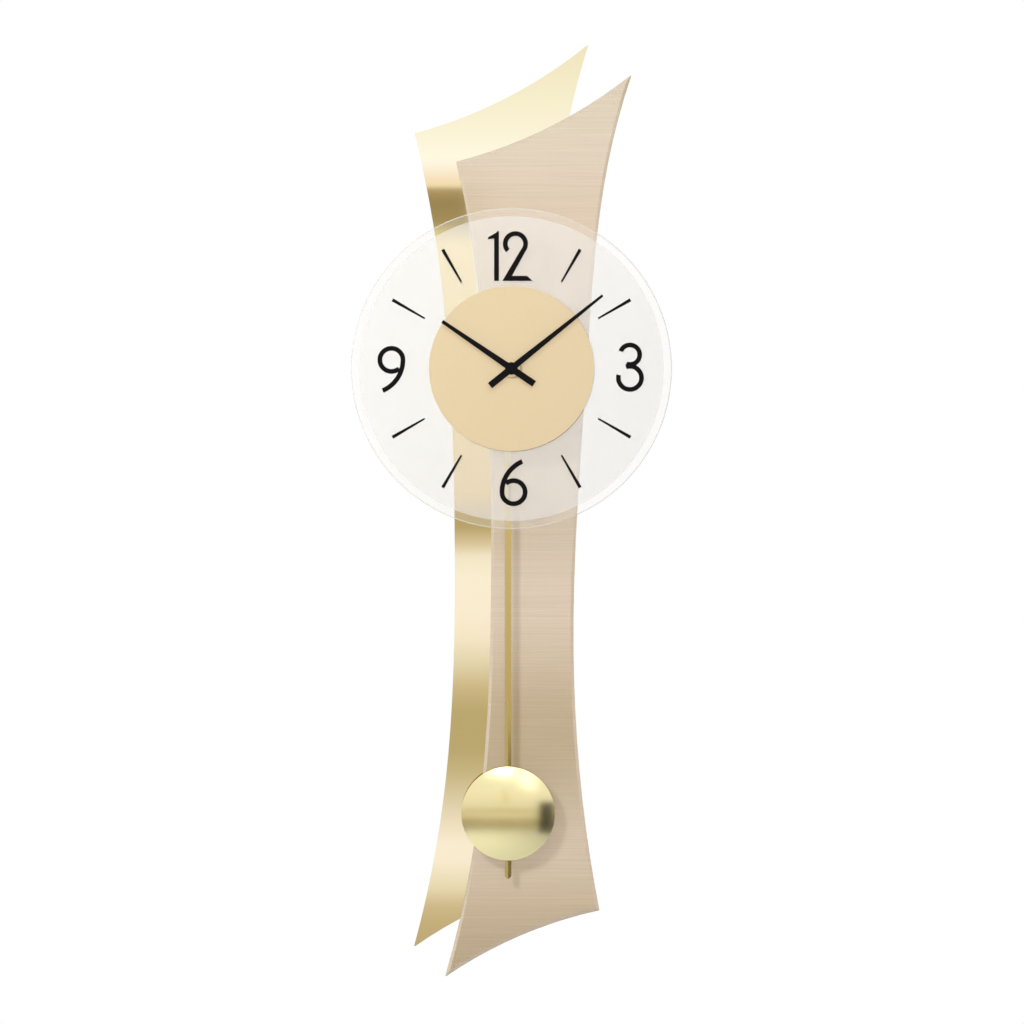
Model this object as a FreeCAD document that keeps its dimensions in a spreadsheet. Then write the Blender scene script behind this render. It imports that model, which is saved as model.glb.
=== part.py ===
import FreeCAD, Part
import Sketcher
import math
import os

# A pendulum wall clock: two hollow-sided wavy panels, one behind the other, a round
# glass dial clamped to a quartz movement, and a long pendulum that hangs in front.
#
# Frame: +Z up, the front faces -Y, the wall is the plane y = 0.  The origin is the
# middle of the keyhole's round opening, on the rear face of the hanger plate.
# "back" is always how far a piece's rear face stands in front of the wall.
# x and z of the pieces are measured from the dial's centre, below the hanger.

Vector = FreeCAD.Vector
doc = FreeCAD.newDocument("pendulum_wall_clock")

SIZES = {
    # whole clock
    "dial_drop": 150.0,            # hanger to the dial's centre
    "pendulum_offset": 2.4,        # the pendulum hangs this far left of the hands
    # panels
    "board_thickness": 6.0,
    "mirror_thickness": 0.8,
    "brushed_thickness": 1.5,
    "brushed_bevel_width": 2.2,
    "brushed_bevel_depth": 1.0,
    "tip_radius": 0.5,
    "rear_board_back": 1.5,
    "board_joint": 60.0,           # where the rear board's two halves meet
    "panel_gap": 15.0,
    "panel_shift_x": -28.1,        # the rear panel from the front one
    "panel_shift_z": 21.4,
    "panel_turn": 0.73,
    "window_left": 10.5,           # battery and knob window, from the dial's centre
    "window_bottom": -48.0,
    "window_width": 17.5,
    "window_height": 65.0,
    # fixings
    "panel_screw_radius": 1.75,
    "panel_screw_hole": 2.0,
    "panel_screw_head": 3.6,
    "panel_screw_head_depth": 2.2,
    "counterbore_radius": 4.0,
    "counterbore_depth": 3.0,
    "panel_screw_length": 23.5,
    "spacer_radius": 5.0,
    "spacer_bore": 2.1,
    "lug_screw_radius": 1.3,
    "lug_screw_head": 2.3,
    "lug_screw_head_depth": 1.5,
    "lug_screw_length": 4.8,
    "lug_hole": 1.35,
    "lug_size": 6.0,
    "lug_thickness": 2.0,
    # hanger
    "hanger_width": 36.0,
    "hanger_height": 30.0,
    "hanger_thickness": 1.5,
    "hanger_bottom": -10.0,
    "keyhole_radius": 4.5,
    "keyhole_slot": 4.0,
    "keyhole_rise": 9.0,
    "keyhole_recess_radius": 6.5,
    "keyhole_recess_depth": 4.5,
    "hanger_screw_x": 13.0,
    "hanger_screw_z": 4.0,
    "hanger_screw_radius": 1.5,
    "hanger_screw_head": 3.0,
    "hanger_screw_length": 5.0,
    "hanger_block_width": 42.0,
    "hanger_block_height": 36.0,
    "hanger_block_bottom": -13.0,
    "pad_radius": 6.0,
    # movement case
    "case_width": 56.0,
    "case_bottom": -50.0,
    "case_top": 22.0,
    "case_depth": 22.0,
    "case_split": 13.2,            # depth of the rear half
    "case_wall": 1.5,
    "plate_back": 41.5,
    "plate_thickness": 1.0,
    "circuit_back": 33.3,
    "circuit_thickness": 1.2,
    # battery
    "battery_x": 19.0,
    "battery_axis_depth": 40.2,
    "battery_radius": 7.25,
    "battery_length": 49.5,
    "battery_bottom": -46.5,
    "battery_nub_radius": 2.75,
    "battery_nub_length": 1.0,
    # wheels
    "wheel_thickness": 1.0,
    "level_pitch": 1.3,            # from one wheel to the one in front of it
    "first_level_back": 43.2,
    "arbor_radius": 0.6,
    "pivot_radius": 0.35,
    "pivot_hole": 0.40,
    "centre_arbor_radius": 0.80,
    "cannon_bore": 0.85,
    "cannon_pipe": 1.50,
    "hour_bore": 1.57,
    "hour_pipe": 2.50,
    "bushing_bore": 2.57,
    "bushing_radius": 4.0,
    "bushing_length": 10.5,
    "knob_radius": 5.0,
    "knob_thickness": 3.5,
    "knob_back": 26.3,
    "setting_shaft_radius": 1.5,
    "setting_shaft_hole": 1.56,
    # dial
    "rubber_thickness": 1.0,
    "rubber_radius": 9.0,
    "glass_radius": 115.0,
    "glass_thickness": 4.0,
    "glass_bevel": 0.6,
    "glass_hole": 4.15,
    "print_radius": 109.2,
    "print_thickness": 0.1,
    "print_gap": 0.02,             # the glue between the glass and the print
    "disc_radius": 59.2,
    "disc_thickness": 0.8,
    "nut_washer_radius": 6.6,
    "nut_washer_thickness": 0.5,
    "nut_radius": 6.4,
    "nut_thickness": 2.2,
    "nut_bevel": 0.5,
    "tick_inner": 71.7,
    "tick_outer": 98.5,
    "tick_inner_width": 1.2,
    "tick_outer_width": 2.4,
    "stroke": 3.4,                 # line width of the numerals
    # hands
    "hand_thickness": 0.5,
    "hour_hand_back": 62.7,
    "minute_hand_back": 64.3,
    "hour_hand_length": 60.0,
    "minute_hand_length": 83.7,
    "hand_tail": 19.7,
    "hand_tail_width": 4.8,
    "hand_root_width": 4.7,
    "hour_hand_tip": 2.5,
    "minute_hand_tip": 1.8,
    "hand_hub_radius": 4.5,
    "hour_hand_angle": 304.2,      # clockwise from 12
    "minute_hand_angle": 51.3,
    "cap_radius": 1.9,
    "cap_thickness": 0.9,
    # pendulum
    "pivot_height": 12.0,
    "pivot_pin_radius": 0.80,
    "hanger_eye": 0.86,
    "lever_back": 38.0,
    "lever_thickness": 2.0,
    "lever_width": 5.0,
    "lever_bottom": -58.0,
    "hook_height": -55.5,
    "hook_radius": 1.2,
    "drive_height": -34.0,
    "rod_width": 4.5,
    "rod_edge": 0.9,
    "rod_ridge": 1.5,
    "rod_top": -53.0,
    "rod_bottom": -366.0,
    "rod_point": 1.6,
    "bob_height": -319.2,
    "bob_radius": 33.6,
    "bob_dome": 6.5,
    "bob_shell": 0.8,
    "bob_rim": 0.9,
    "bob_plate_back": 41.8,
    "bob_plate_thickness": 0.8,
    "clip_gap": 0.1,
    "clip_thickness": 0.6,
    "clip_height": 24.0,
}

sheet = doc.addObject("Spreadsheet::Sheet", "Sizes")
for row, (alias, value) in enumerate(SIZES.items(), start=1):
    sheet.set(f"A{row}", alias)
    sheet.set(f"B{row}", str(value))
    sheet.setAlias(f"B{row}", alias)
doc.recompute()


def size(alias):
    """The sheet's value, for outlines worked out by a formula."""
    return float(sheet.get(alias))


# ---------------------------------------------------------------- building blocks

FACE_FRONT = FreeCAD.Rotation(Vector(1, 0, 0), 90)    # local Z points to the front
nodes = {}


def stand(thing, x, back, z, turn=0.0):
    """Stand a piece drawn in its own XY plane upright, with its rear face at back."""
    rotation = FACE_FRONT.multiply(FreeCAD.Rotation(Vector(0, 0, 1), turn))
    thing.Placement = FreeCAD.Placement(Vector(0, 0, 0), rotation)
    thing.setExpression("Placement.Base.x", f"{x}")
    thing.setExpression("Placement.Base.y", f"-({back})")
    thing.setExpression("Placement.Base.z", f"{z} - Sizes.dial_drop")
    return thing


def disc(name, radius, length, x, back, z):
    piece = doc.addObject("Part::Cylinder", name)
    piece.setExpression("Radius", radius)
    piece.setExpression("Height", length)
    return stand(piece, x, back, z)


def rod_up(name, radius, length, x, depth, z):
    """A cylinder whose axis is upright."""
    piece = doc.addObject("Part::Cylinder", name)
    piece.setExpression("Radius", radius)
    piece.setExpression("Height", length)
    piece.setExpression("Placement.Base.x", f"{x}")
    piece.setExpression("Placement.Base.y", f"-({depth})")
    piece.setExpression("Placement.Base.z", f"{z} - Sizes.dial_drop")
    return piece


def block(name, width, depth, height, left, back, bottom):
    piece = doc.addObject("Part::Box", name)
    piece.setExpression("Length", f"{width}")
    piece.setExpression("Width", f"{depth}")
    piece.setExpression("Height", f"{height}")
    piece.setExpression("Placement.Base.x", f"{left}")
    piece.setExpression("Placement.Base.y", f"-({back}) - ({depth})")
    piece.setExpression("Placement.Base.z", f"{bottom} - Sizes.dial_drop")
    return piece


def cut(name, base, *tools):
    result = doc.addObject("Part::Cut", name)
    result.Base = base
    result.Tool = tools[0] if len(tools) == 1 else fuse(name + "_tools", *tools)
    return result


def fuse(name, *pieces):
    result = doc.addObject("Part::MultiFuse", name)
    result.Shapes = list(pieces)
    return result


def group(name, pieces):
    result = doc.addObject("Part::Compound", name)
    result.Links = list(pieces)
    return result


def node(name, thing):
    thing.Label = name
    nodes[name] = thing
    return thing


def ring(name, outer, inner, length, x, back, z):
    solid = disc(name + "_solid", outer, length, x, back, z)
    hole = disc(name + "_hole", inner, f"{length} + 2", x, f"{back} - 1", z)
    return cut(name + "_ring", solid, hole)


def body_sketch(body, name):
    sketch = body.newObject("Sketcher::SketchObject", name)
    plane = next(f for f in body.Origin.OriginFeatures if f.Role == "XY_Plane")
    sketch.AttachmentSupport = [(plane, "")]
    sketch.MapMode = "FlatFace"
    return sketch


def pad(body, sketch, length):
    feature = body.newObject("PartDesign::Pad", sketch.Name + "_pad")
    feature.Profile = sketch
    feature.setExpression("Length", length)
    doc.recompute()
    return feature


def pocket_through(body, sketch, expected_loss):
    """Cut right through towards the front, and make sure that something was cut."""
    before = body.Shape.Volume
    feature = body.newObject("PartDesign::Pocket", sketch.Name + "_pocket")
    feature.Profile = sketch
    feature.Type = "ThroughAll"
    feature.Reversed = True
    doc.recompute()
    assert before - body.Shape.Volume > expected_loss, sketch.Name
    return feature


def polygon(sketch, points):
    corners = [Vector(x, y, 0) for x, y in points]
    for start, end in zip(corners, corners[1:] + corners[:1]):
        sketch.addGeometry(Part.LineSegment(start, end))


def circle(sketch, radius_alias, x=0.0, y=0.0):
    centre = Vector(x, y, 0)
    index = sketch.addGeometry(Part.Circle(centre, Vector(0, 0, 1), size(radius_alias)))
    constraint = sketch.addConstraint(Sketcher.Constraint("Radius", index, size(radius_alias)))
    sketch.setExpression(f"Constraints[{constraint}]", f"Sizes.{radius_alias}")


# ---------------------------------------------------------------- panels

# Corners of the front panel and the sag of its hollow ends, and the points that its
# two hollow sides pass through between the corners, from the dial's centre.
TOP_LEFT, TOP_RIGHT = (-39.7, 149.0), (86.5, 211.7)
BOTTOM_RIGHT, BOTTOM_LEFT = (63.3, -389.0), (-47.8, -437.0)
RIGHT_SIDE = [(69.9, 150.0), (54.0, 0.0), (44.6, -190.0)]
LEFT_SIDE = [(-25.0, -330.0), (-14.6, -150.0), (-29.8, 100.0)]
TOP_SAG, BOTTOM_SAG = 7.5, 5.9


def hollow_arc(start, end, sag):
    """An arc that bends to the right of the way from start to end."""
    (x0, y0), (x1, y1) = start, end
    length = math.hypot(x1 - x0, y1 - y0)
    across = ((y1 - y0) / length, -(x1 - x0) / length)
    middle = ((x0 + x1) / 2 + across[0] * sag, (y0 + y1) / 2 + across[1] * sag)
    return Part.Arc(Vector(*start, 0), Vector(*middle, 0), Vector(*end, 0))


def smooth_side(start, between, end):
    """A side through its points, smooth in the height along it."""
    points = [start] + between + [end]
    curve = Part.BSplineCurve()
    curve.interpolate([Vector(x, y, 0) for x, y in points])
    return curve


def panel_body(name, thickness, rounded=True):
    body = doc.addObject("PartDesign::Body", name)
    outline = body_sketch(body, name + "_outline")
    outline.addGeometry(hollow_arc(TOP_LEFT, TOP_RIGHT, TOP_SAG))
    outline.addGeometry(smooth_side(TOP_RIGHT, RIGHT_SIDE, BOTTOM_RIGHT))
    outline.addGeometry(hollow_arc(BOTTOM_RIGHT, BOTTOM_LEFT, BOTTOM_SAG))
    outline.addGeometry(smooth_side(BOTTOM_LEFT, LEFT_SIDE, TOP_LEFT))
    solid = pad(body, outline, thickness)
    if rounded:
        upright = [f"Edge{i}" for i, edge in enumerate(solid.Shape.Edges, start=1)
                   if abs(edge.BoundBox.ZLength - solid.Length.Value) < 1e-6
                   and edge.BoundBox.DiagonalLength - solid.Length.Value < 1e-6]
        fillet = body.newObject("PartDesign::Fillet", name + "_tips")
        fillet.Base = (solid, upright)
        fillet.setExpression("Radius", "Sizes.tip_radius")
    return body


def front_place(thing, back):
    return stand(thing, "0", back, "0")


def rear_place(thing, back):
    """The rear panel is the same outline, shifted and slightly turned."""
    return stand(thing, "Sizes.panel_shift_x", back, "Sizes.panel_shift_z", size("panel_turn"))


def window(name, back, depth):
    return block(name, "Sizes.window_width", depth, "Sizes.window_height",
                 "Sizes.window_left", back, "Sizes.window_bottom")


REAR_BACK = "Sizes.rear_board_back"
MIRROR_BACK = f"{REAR_BACK} + Sizes.board_thickness"
GAP_BACK = f"{MIRROR_BACK} + Sizes.mirror_thickness"
FRONT_BACK = f"{GAP_BACK} + Sizes.panel_gap"
BRUSHED_BACK = f"{FRONT_BACK} + Sizes.board_thickness"
CASE_BACK = f"{BRUSHED_BACK} + Sizes.brushed_thickness"
PANEL_SCREWS = [(-20, 118), (20, 118), (2, -150), (5, -345)]
LUGS = [(-14, 25.5), (14, 25.5), (31.5, -36), (-16.5, -52.6)]
PADS = [(-46, 120), (30, 185), (-50, -385), (20, -350)]


def discs_at(name, places, radius, length, back):
    return [disc(f"{name}_{i}", radius, length, f"{x}", back, f"{z}")
            for i, (x, z) in enumerate(places)]


def hanger_block_blank(name, back, depth):
    return block(name, "Sizes.hanger_block_width", depth, "Sizes.hanger_block_height",
                 "-Sizes.hanger_block_width / 2", back,
                 "Sizes.dial_drop + Sizes.hanger_block_bottom")


def build_rear_panel():
    board = rear_place(panel_body("rear_board_blank", "Sizes.board_thickness"), REAR_BACK)
    bores = discs_at("rear_bore", PANEL_SCREWS, "Sizes.panel_screw_hole",
                     "Sizes.board_thickness + 2", f"{REAR_BACK} - 1")
    sinks = discs_at("rear_sink", PANEL_SCREWS, "Sizes.counterbore_radius",
                     "Sizes.counterbore_depth + 1", f"{REAR_BACK} - 1")
    opening = window("rear_board_window", f"{REAR_BACK} - 1", "Sizes.board_thickness + 2")
    housing = hanger_block_blank("block_housing", f"{REAR_BACK} - 1",
                                 "Sizes.board_thickness + 2")
    whole = cut("rear_board_cut", board, *bores, *sinks, opening, housing)
    for half, bottom, height in (("upper", "Sizes.board_joint", "400"),
                                 ("lower", "Sizes.board_joint - 600", "600")):
        side = block(f"{half}_side", "600", "Sizes.board_thickness + 2", height, "-300",
                     f"{REAR_BACK} - 1", bottom)
        part = doc.addObject("Part::Common", f"rear_{half}_common")
        part.Base = whole
        part.Tool = side
        node(f"rear_panel_{half}_board", part)

    mirror = rear_place(panel_body("mirror_blank", "Sizes.mirror_thickness"), MIRROR_BACK)
    bores = discs_at("mirror_bore", PANEL_SCREWS, "Sizes.panel_screw_hole",
                     "Sizes.mirror_thickness + 2", f"{MIRROR_BACK} - 1")
    opening = window("mirror_window", f"{MIRROR_BACK} - 1", "Sizes.mirror_thickness + 2")
    node("rear_panel_mirror_sheet", cut("mirror_cut", mirror, *bores, opening))


def build_front_panel():
    board = front_place(panel_body("front_board_blank", "Sizes.board_thickness"), FRONT_BACK)
    pilots = discs_at("front_pilot", PANEL_SCREWS, "Sizes.panel_screw_radius",
                      f"{PANEL_SCREW_TIP} - ({FRONT_BACK}) + 1", f"{FRONT_BACK} - 1")
    lug_pilots = discs_at("lug_pilot", LUGS, "Sizes.lug_screw_radius",
                          "Sizes.board_thickness", f"{BRUSHED_BACK} - 1.5")
    opening = window("front_board_window", f"{FRONT_BACK} - 1", "Sizes.board_thickness + 2")
    node("front_panel_board", cut("front_board_cut", board, *pilots, *lug_pilots, opening))

    bevelled = panel_body("brushed_blank", "Sizes.brushed_thickness", rounded=False)
    solid = bevelled.Tip
    top = solid.Length.Value
    rim = [f"Edge{i}" for i, edge in enumerate(solid.Shape.Edges, start=1)
           if edge.BoundBox.ZMin > top - 1e-6]
    chamfer = bevelled.newObject("PartDesign::Chamfer", "brushed_bevel")
    chamfer.Base = (solid, rim)
    chamfer.ChamferType = "Two distances"
    chamfer.setExpression("Size", "Sizes.brushed_bevel_depth")
    chamfer.setExpression("Size2", "Sizes.brushed_bevel_width")
    doc.recompute()
    trimmer = panel_body("brushed_trimmer", "Sizes.brushed_thickness")
    front_place(bevelled, BRUSHED_BACK)
    front_place(trimmer, BRUSHED_BACK)
    sheet_shape = doc.addObject("Part::Common", "brushed_common")
    sheet_shape.Base = bevelled
    sheet_shape.Tool = trimmer
    holes = discs_at("brushed_bore", LUGS, "Sizes.lug_screw_radius",
                     "Sizes.brushed_thickness + 2", f"{BRUSHED_BACK} - 1")
    opening = window("brushed_window", f"{BRUSHED_BACK} - 1", "Sizes.brushed_thickness + 2")
    node("front_panel_brushed_sheet", cut("brushed_cut", sheet_shape, *holes, opening))


PANEL_HEAD_BACK = f"{REAR_BACK} + Sizes.counterbore_depth - Sizes.panel_screw_head_depth"
PANEL_SHANK_BACK = f"{REAR_BACK} + Sizes.counterbore_depth"
PANEL_SCREW_TIP = f"{PANEL_SHANK_BACK} + Sizes.panel_screw_length"


def build_fixings():
    node("panel_spacers", group("spacer_group", [
        ring(f"spacer_{i}", "Sizes.spacer_radius", "Sizes.spacer_bore", "Sizes.panel_gap",
             f"{x}", GAP_BACK, f"{z}") for i, (x, z) in enumerate(PANEL_SCREWS)]))
    screws = []
    for i, (x, z) in enumerate(PANEL_SCREWS):
        head = disc(f"panel_head_{i}", "Sizes.panel_screw_head", "Sizes.panel_screw_head_depth",
                    f"{x}", PANEL_HEAD_BACK, f"{z}")
        shank = disc(f"panel_shank_{i}", "Sizes.panel_screw_radius", "Sizes.panel_screw_length",
                     f"{x}", PANEL_SHANK_BACK, f"{z}")
        screws.append(fuse(f"panel_screw_{i}", head, shank))
    node("panel_screws", group("panel_screw_group", screws))
    screws = []
    for i, (x, z) in enumerate(LUGS):
        head = disc(f"lug_head_{i}", "Sizes.lug_screw_head", "Sizes.lug_screw_head_depth",
                    f"{x}", f"{CASE_BACK} + Sizes.lug_thickness", f"{z}")
        shank = disc(f"lug_shank_{i}", "Sizes.lug_screw_radius", "Sizes.lug_screw_length",
                     f"{x}", f"{CASE_BACK} + Sizes.lug_thickness - Sizes.lug_screw_length", f"{z}")
        screws.append(fuse(f"lug_screw_{i}", head, shank))
    node("movement_screws", group("lug_screw_group", screws))
    node("wall_pads", group("pad_group", discs_at(
        "pad", PADS, "Sizes.pad_radius", "Sizes.rear_board_back", "0")))


def screw_cone(name, side, length_extra):
    """The countersunk head of a hanger screw, or the hole that it sits in."""
    cone = doc.addObject("Part::Cone", name)
    cone.setExpression("Radius1", "Sizes.hanger_screw_head")
    cone.setExpression("Radius2", "Sizes.hanger_screw_radius")
    cone.setExpression("Height", "Sizes.hanger_thickness")
    stand(cone, f"{side} * Sizes.hanger_screw_x", "0", "Sizes.dial_drop + Sizes.hanger_screw_z")
    shank = disc(name + "_shank", "Sizes.hanger_screw_radius",
                 f"Sizes.hanger_thickness + {length_extra}", f"{side} * Sizes.hanger_screw_x",
                 "0", "Sizes.dial_drop + Sizes.hanger_screw_z")
    return fuse(name + "_screw", cone, shank)


def build_hanger_block():
    """A hardwood insert in the rear board, hollowed behind the keyhole for a screw head."""
    recess_back = f"{REAR_BACK} - 1"
    recess_depth = "Sizes.keyhole_recess_depth + 1"
    low = disc("recess_low", "Sizes.keyhole_recess_radius", recess_depth,
               "0", recess_back, "Sizes.dial_drop")
    high = disc("recess_high", "Sizes.keyhole_recess_radius", recess_depth,
                "0", recess_back, "Sizes.dial_drop + Sizes.keyhole_rise")
    between = block("recess_between", "2 * Sizes.keyhole_recess_radius", recess_depth,
                    "Sizes.keyhole_rise", "-Sizes.keyhole_recess_radius", recess_back,
                    "Sizes.dial_drop")
    pilots = [disc(f"hanger_pilot_{side}", "Sizes.hanger_screw_radius",
                   "Sizes.hanger_screw_length + 1", f"{side} * Sizes.hanger_screw_x",
                   recess_back, "Sizes.dial_drop + Sizes.hanger_screw_z")
              for side in (-1, 1)]
    blank = hanger_block_blank("hanger_block_blank", REAR_BACK, "Sizes.board_thickness")
    node("hanger_block", cut("hanger_block_cut", blank, low, high, between, *pilots))


def build_hanger():
    plate = block("hanger_blank", "Sizes.hanger_width", "Sizes.hanger_thickness",
                  "Sizes.hanger_height", "-Sizes.hanger_width / 2", "0",
                  "Sizes.dial_drop + Sizes.hanger_bottom")
    low = disc("keyhole_round", "Sizes.keyhole_radius", "Sizes.hanger_thickness + 2",
               "0", "-1", "Sizes.dial_drop")
    slot = block("keyhole_slot_cut", "Sizes.keyhole_slot", "Sizes.hanger_thickness + 2",
                 "Sizes.keyhole_rise", "-Sizes.keyhole_slot / 2", "-1", "Sizes.dial_drop")
    high = disc("keyhole_top", "Sizes.keyhole_slot / 2", "Sizes.hanger_thickness + 2",
                "0", "-1", "Sizes.dial_drop + Sizes.keyhole_rise")
    holes = [screw_cone(f"hanger_sink_{i}", side, "1") for i, side in enumerate((-1, 1))]
    node("hanger_plate", cut("hanger_cut", plate, low, slot, high, *holes))
    node("hanger_screws", group("hanger_screw_group", [
        screw_cone(f"hanger_screw_{i}", side, "Sizes.hanger_screw_length - 1")
        for i, side in enumerate((-1, 1))]))


# ---------------------------------------------------------------- wheels

PRESSURE_ANGLE = math.radians(30)
ADDENDUM, DEDENDUM = 0.80, 1.15      # in modules
BACKLASH = 0.04                      # each tooth is this much thinner than half the pitch


def involute(angle):
    return math.tan(angle) - angle


def at(radius, angle, x=0.0, y=0.0):
    return Vector(x + radius * math.cos(angle), y + radius * math.sin(angle), 0)


def toothed_face(teeth, module, first_tooth):
    pitch = module * teeth / 2
    base = pitch * math.cos(PRESSURE_ANGLE)
    tip = pitch + ADDENDUM * module
    root = pitch - DEDENDUM * module
    flank_start = max(base, root)
    half_tooth = math.pi / (2 * teeth) - BACKLASH / (2 * pitch)

    def half_angle(radius):
        turn = math.acos(min(1.0, base / radius))
        return half_tooth + involute(PRESSURE_ANGLE) - involute(turn)

    middle = (flank_start + tip) / 2
    edges = []
    for tooth in range(teeth):
        centre = first_tooth + 2 * math.pi * tooth / teeth
        rise, fall = -1, 1

        def flank(side, radius):
            return at(radius, centre + side * half_angle(max(radius, flank_start)))

        if root < flank_start:
            edges.append(Part.LineSegment(flank(rise, root), flank(rise, flank_start)))
        edges.append(Part.Arc(flank(rise, flank_start), flank(rise, middle), flank(rise, tip)))
        edges.append(Part.Arc(flank(rise, tip), at(tip, centre), flank(fall, tip)))
        edges.append(Part.Arc(flank(fall, tip), flank(fall, middle), flank(fall, flank_start)))
        if root < flank_start:
            edges.append(Part.LineSegment(flank(fall, flank_start), flank(fall, root)))
        gap = centre + math.pi / teeth
        next_root = at(root, centre + 2 * math.pi / teeth - half_angle(flank_start))
        edges.append(Part.Arc(flank(fall, root), at(root, gap), next_root))
    return Part.Face(Part.Wire(Part.sortEdges([edge.toShape() for edge in edges])[0]))


def toothed(name, wheel, teeth, module, level, thickness_alias="wheel_thickness"):
    """A toothed disc on one of the levels, in front of the train plate."""
    piece = doc.addObject("Part::Feature", name)
    face = toothed_face(teeth, module, wheel["phase"][name])
    piece.Shape = face.extrude(Vector(0, 0, size(thickness_alias)))
    return stand(piece, f"{wheel['x']}", level_back(level), f"{wheel['z']}")


def level_back(level):
    return f"Sizes.first_level_back + {level} * Sizes.level_pitch"


def beside(wheel, distance, degrees):
    """A new arbor at a distance and direction from another."""
    angle = math.radians(degrees)
    return {"x": wheel["x"] + distance * math.cos(angle),
            "z": wheel["z"] + distance * math.sin(angle), "phase": {}}


def mesh_phase(phase, teeth, degrees, other_teeth):
    """The first tooth of the wheel that a phased wheel drives in this direction."""
    angle = math.radians(degrees)
    share = (angle - phase) * teeth / (2 * math.pi)
    return angle + math.pi - (0.5 - share) * 2 * math.pi / other_teeth


# Each pair: module, the driving teeth, the driven teeth, and the way to the next arbor.
THIRD_WAY, FOURTH_WAY, FIFTH_WAY, ROTOR_WAY = 200, 100, 120, 200
MINUTE_WAY, SETTING_WAY = 60, 0
CENTRE_TEETH, THIRD_PINION, CENTRE_MODULE = 64, 8, 0.30
THIRD_TEETH, FOURTH_PINION, THIRD_MODULE = 60, 8, 0.25
FOURTH_TEETH, FIFTH_PINION, FOURTH_MODULE = 60, 12, 0.25
FIFTH_TEETH, ROTOR_PINION, FIFTH_MODULE = 60, 10, 0.20
CANNON_TEETH, MINUTE_TEETH, CANNON_MODULE = 12, 36, 0.50
MINUTE_PINION, HOUR_TEETH, HOUR_MODULE = 12, 48, 0.40
SETTING_PINION = 12


def spacing(teeth_a, teeth_b, module):
    return (teeth_a + teeth_b) * module / 2


centre = {"x": 0.0, "z": 0.0, "phase": {"centre_teeth": 0.0, "cannon_teeth": 0.0}}
third = beside(centre, spacing(CENTRE_TEETH, THIRD_PINION, CENTRE_MODULE), THIRD_WAY)
fourth = beside(third, spacing(THIRD_TEETH, FOURTH_PINION, THIRD_MODULE), FOURTH_WAY)
fifth = beside(fourth, spacing(FOURTH_TEETH, FIFTH_PINION, FOURTH_MODULE), FIFTH_WAY)
rotor = beside(fifth, spacing(FIFTH_TEETH, ROTOR_PINION, FIFTH_MODULE), ROTOR_WAY)
minute = beside(centre, spacing(CANNON_TEETH, MINUTE_TEETH, CANNON_MODULE), MINUTE_WAY)
setting = beside(minute, spacing(MINUTE_TEETH, SETTING_PINION, CANNON_MODULE), SETTING_WAY)

third["phase"]["third_pinion"] = mesh_phase(0.0, CENTRE_TEETH, THIRD_WAY, THIRD_PINION)
third["phase"]["third_teeth"] = 0.0
fourth["phase"]["fourth_pinion"] = mesh_phase(0.0, THIRD_TEETH, FOURTH_WAY, FOURTH_PINION)
fourth["phase"]["fourth_teeth"] = 0.0
fifth["phase"]["fifth_pinion"] = mesh_phase(0.0, FOURTH_TEETH, FIFTH_WAY, FIFTH_PINION)
fifth["phase"]["fifth_teeth"] = 0.0
rotor["phase"]["rotor_teeth"] = mesh_phase(0.0, FIFTH_TEETH, ROTOR_WAY, ROTOR_PINION)
minute["phase"]["minute_teeth"] = mesh_phase(0.0, CANNON_TEETH, MINUTE_WAY, MINUTE_TEETH)
minute["phase"]["minute_pinion"] = 0.0
centre["phase"]["hour_teeth"] = mesh_phase(0.0, MINUTE_PINION, MINUTE_WAY + 180, HOUR_TEETH)
setting["phase"]["setting_teeth"] = mesh_phase(minute["phase"]["minute_teeth"], MINUTE_TEETH,
                                               SETTING_WAY, SETTING_PINION)

FRONT_WALL_BACK = f"{CASE_BACK} + Sizes.case_depth - Sizes.case_wall"
PIVOT_TIP = 0.6                      # how far a pivot reaches into the front wall
END_SHAKE = 0.1


def arbor(name, wheel):
    """A turned arbor with a thin pivot at each end."""
    body_back = f"Sizes.plate_back + Sizes.plate_thickness + {END_SHAKE}"
    thick = disc(name + "_thick", "Sizes.arbor_radius",
                 f"{FRONT_WALL_BACK} - {END_SHAKE} - ({body_back})",
                 f"{wheel['x']}", body_back, f"{wheel['z']}")
    thin = disc(name + "_thin", "Sizes.pivot_radius",
                f"{FRONT_WALL_BACK} + {PIVOT_TIP} - Sizes.plate_back",
                f"{wheel['x']}", "Sizes.plate_back", f"{wheel['z']}")
    return [thick, thin]


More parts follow.
